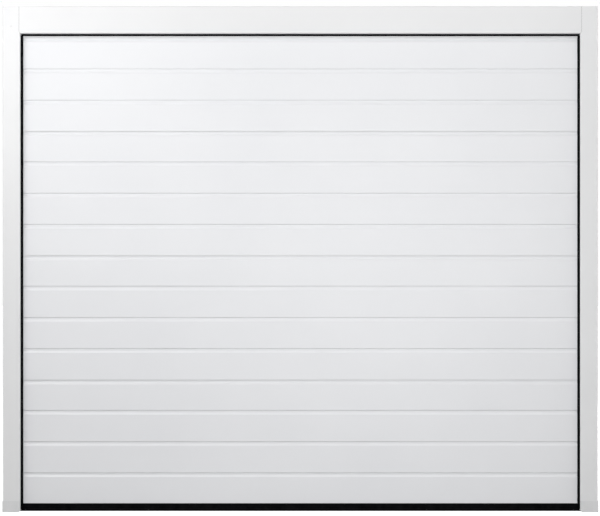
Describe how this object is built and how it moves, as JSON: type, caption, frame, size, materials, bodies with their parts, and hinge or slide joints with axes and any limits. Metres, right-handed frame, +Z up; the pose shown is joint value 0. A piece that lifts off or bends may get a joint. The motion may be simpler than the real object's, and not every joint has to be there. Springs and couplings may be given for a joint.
{
  "type": "sectional garage door",
  "caption": "Closed overhead sectional garage door: ribbed sandwich leaf in a white steel frame, with tracks, hinges, rollers, lift cables and tension springs.",
  "frame": {"origin": "middle of the header panel's front face; the floor is 2.1985 m below it", "axes": "+X to the right seen from outside, along the door's width; +Y from outside to inside, along the level tracks; +Z up"},
  "size_m": [2.662, 2.56, 2.38],
  "materials": {
    "white_paint": "semi-gloss powder coat",
    "leaf_paint": "satin coil-coated steel skin, finely embossed",
    "white_plastic": "satin moulded",
    "rubber": "matt black",
    "rail": "mill finish",
    "zinc": "galvanised",
    "hinge_zinc": "bright zinc plated",
    "steel": "turned, bright",
    "nylon": "natural nylon",
    "spring_steel": "oiled, dark",
    "cable": "stranded, galvanised"
  },
  "bodies": {
    "root": {"jamb_left": "white_paint", "jamb_right": "white_paint", "jamb_return_left": "white_paint", "jamb_return_right": "white_paint", "jamb_wall_left": "white_paint", "jamb_wall_right": "white_paint", "header_panel": "white_paint", "header_return": "white_paint", "header_flange": "white_paint", "header_lips": "white_paint", "section_1": "leaf_paint", "section_2": "leaf_paint", "section_3": "leaf_paint", "section_4": "leaf_paint", "frame_feet": "white_plastic", "side_seal_left": "rubber", "side_seal_right": "rubber", "head_seal": "rubber", "bottom_seal": "rubber", "bottom_rail": "rail", "end_caps_left": "zinc", "end_caps_right": "zinc", "vertical_track_left": "zinc", "vertical_track_right": "zinc", "curved_track_left": "zinc", "curved_track_right": "zinc", "horizontal_track_left": "zinc", "horizontal_track_right": "zinc", "upper_track_left": "zinc", "upper_track_right": "zinc", "track_brackets": "zinc", "corner_plate_left": "zinc", "corner_plate_right": "zinc", "rear_cross_bar": "zinc", "ceiling_hangers": "zinc", "spring_anchors": "zinc", "lower_hinge_leaves": "hinge_zinc", "upper_hinge_leaves": "hinge_zinc", "side_hinge_carriers_left": "hinge_zinc", "side_hinge_carriers_right": "hinge_zinc", "bottom_brackets": "hinge_zinc", "top_brackets": "hinge_zinc", "pulley_blocks": "hinge_zinc", "hinge_pins": "steel", "roller_axles": "steel", "rollers_left": "nylon", "rollers_right": "nylon", "pulleys": "nylon", "spring_left": "spring_steel", "spring_right": "spring_steel", "lift_cable_left": "cable", "lift_cable_right": "cable"}
  },
  "joints": []
}
